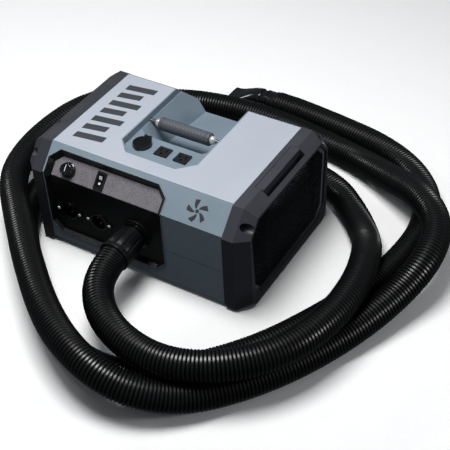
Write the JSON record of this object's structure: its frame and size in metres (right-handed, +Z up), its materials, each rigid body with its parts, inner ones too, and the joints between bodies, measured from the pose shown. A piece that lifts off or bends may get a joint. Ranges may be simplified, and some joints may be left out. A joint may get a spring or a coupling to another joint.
{
  "type": "car dryer blower",
  "caption": "Boxy wheel-less car dryer blower with grilled end caps, a sunken carry handle, sloped front controls and a long ribbed hose that ends in a flat nozzle.",
  "frame": {"origin": "on the floor, under the middle of the housing without its hose", "axes": "+X towards the intake grille end, -Y towards the controls and the hose port, +Z up"},
  "size_m": [0.9714, 0.991, 0.2325],
  "materials": {
    "grey_plastic": "moulded shells, satin blue-grey",
    "charcoal_plastic": "fine moulded grain",
    "black_plastic": "satin black",
    "gloss_black": "glossy black",
    "silver_plate": "silver lacquer",
    "mauve_plate": "fine speckled lacquer",
    "grip_rubber": "textured sleeve",
    "steel": "turned or plain steel",
    "chrome": "bright plated",
    "brass": "drawn brass",
    "foam": "open-cell filter foam",
    "rubber": "matte black rubber",
    "hose_black": "ribbed flexible hose",
    "board": "circuit board",
    "aluminium": "cast or extruded"
  },
  "bodies": {
    "housing": {"air_plenum": "black_plastic", "bearings": "steel", "board_heat_sink": "aluminium", "board_posts": "aluminium", "capacitor_clip": "black_plastic", "carbon_brushes": "black_plastic", "control_bezel": "black_plastic", "control_board": "board", "control_plate": "mauve_plate", "end_cap_bolts": "steel", "handle_grip": "grip_rubber", "handle_nuts": "chrome", "handle_rod": "steel", "handle_tray": "grey_plastic", "hose": "hose_black", "hose_cuff": "black_plastic", "hose_port": "black_plastic", "inlet_pins": "brass", "inlet_screws": "steel", "intake_end_cap": "charcoal_plastic", "intake_fan_housing": "aluminium", "intake_grille": "black_plastic", "intake_motor_bulkhead": "black_plastic", "intake_motor_frame": "steel", "lower_shell": "grey_plastic", "motor_isolators": "rubber", "nozzle": "gloss_black", "nozzle_collar": "gloss_black", "outlet_1": "black_plastic", "outlet_2": "black_plastic", "plenum_sleeves": "rubber", "port_gasket": "rubber", "power_inlet_1": "gloss_black", "power_inlet_2": "gloss_black", "rear_end_cap": "charcoal_plastic", "rear_fan_housing": "aluminium", "rear_grille": "black_plastic", "rear_motor_bulkhead": "black_plastic", "rear_motor_frame": "steel", "round_socket": "black_plastic", "rubber_pads": "rubber", "run_capacitor": "aluminium", "shell_screws": "steel", "socket_hinge_pin": "steel", "speed_potentiometer": "aluminium", "switch_housing": "black_plastic", "top_plate": "silver_plate", "upper_shell": "grey_plastic"},
    "knob": {"speed_knob": "black_plastic"},
    "rocker": {"switch_rocker": "gloss_black"},
    "flip_cap": {"socket_flip_cap": "gloss_black"},
    "intake_filter": {"intake_filter_cassette": "charcoal_plastic", "intake_filter_foam": "foam"},
    "rear_filter": {"rear_filter_cassette": "charcoal_plastic", "rear_filter_foam": "foam"},
    "intake_rotor": {"intake_armature": "steel", "intake_impeller": "aluminium"},
    "rear_rotor": {"rear_armature": "steel", "rear_impeller": "aluminium"},
    "lock_ring": {"port_lock_ring": "gloss_black"}
  },
  "joints": [
    {"name": "speed_knob_turn", "type": "hinge", "parent": "housing", "child": "knob", "pos_m": [-0.157, -0.16213, 0.19549], "axis": [0, 0.7223, -0.6916], "range_deg": [0, 270]},
    {"name": "switch_rock", "type": "hinge", "parent": "housing", "child": "rocker", "pos_m": [-0.0805, -0.15602, 0.19102], "axis": [-1, 0, 0], "range_deg": [0, 14]},
    {"name": "flip_cap_hinge", "type": "hinge", "parent": "housing", "child": "flip_cap", "pos_m": [-0.053, -0.0265, 0.2246], "axis": [-1, 0, 0], "range_deg": [0, 150]},
    {"name": "intake_filter_slide", "type": "slide", "parent": "housing", "child": "intake_filter", "axis": [0, 0, 1], "range_m": [0, 0.19]},
    {"name": "rear_filter_slide", "type": "slide", "parent": "housing", "child": "rear_filter", "axis": [0, 0, 1], "range_m": [0, 0.19]},
    {"name": "intake_fan_spin", "type": "hinge", "parent": "housing", "child": "intake_rotor", "pos_m": [0.13, 0.01, 0.088], "axis": [1, 0, 0], "continuous": true},
    {"name": "rear_fan_spin", "type": "hinge", "parent": "housing", "child": "rear_rotor", "pos_m": [-0.13, 0.01, 0.088], "axis": [1, 0, 0], "continuous": true},
    {"name": "lock_ring_turn", "type": "hinge", "parent": "housing", "child": "lock_ring", "pos_m": [0.004, -0.18, 0.102], "axis": [0, -1, 0], "range_deg": [0, 30]}
  ]
}
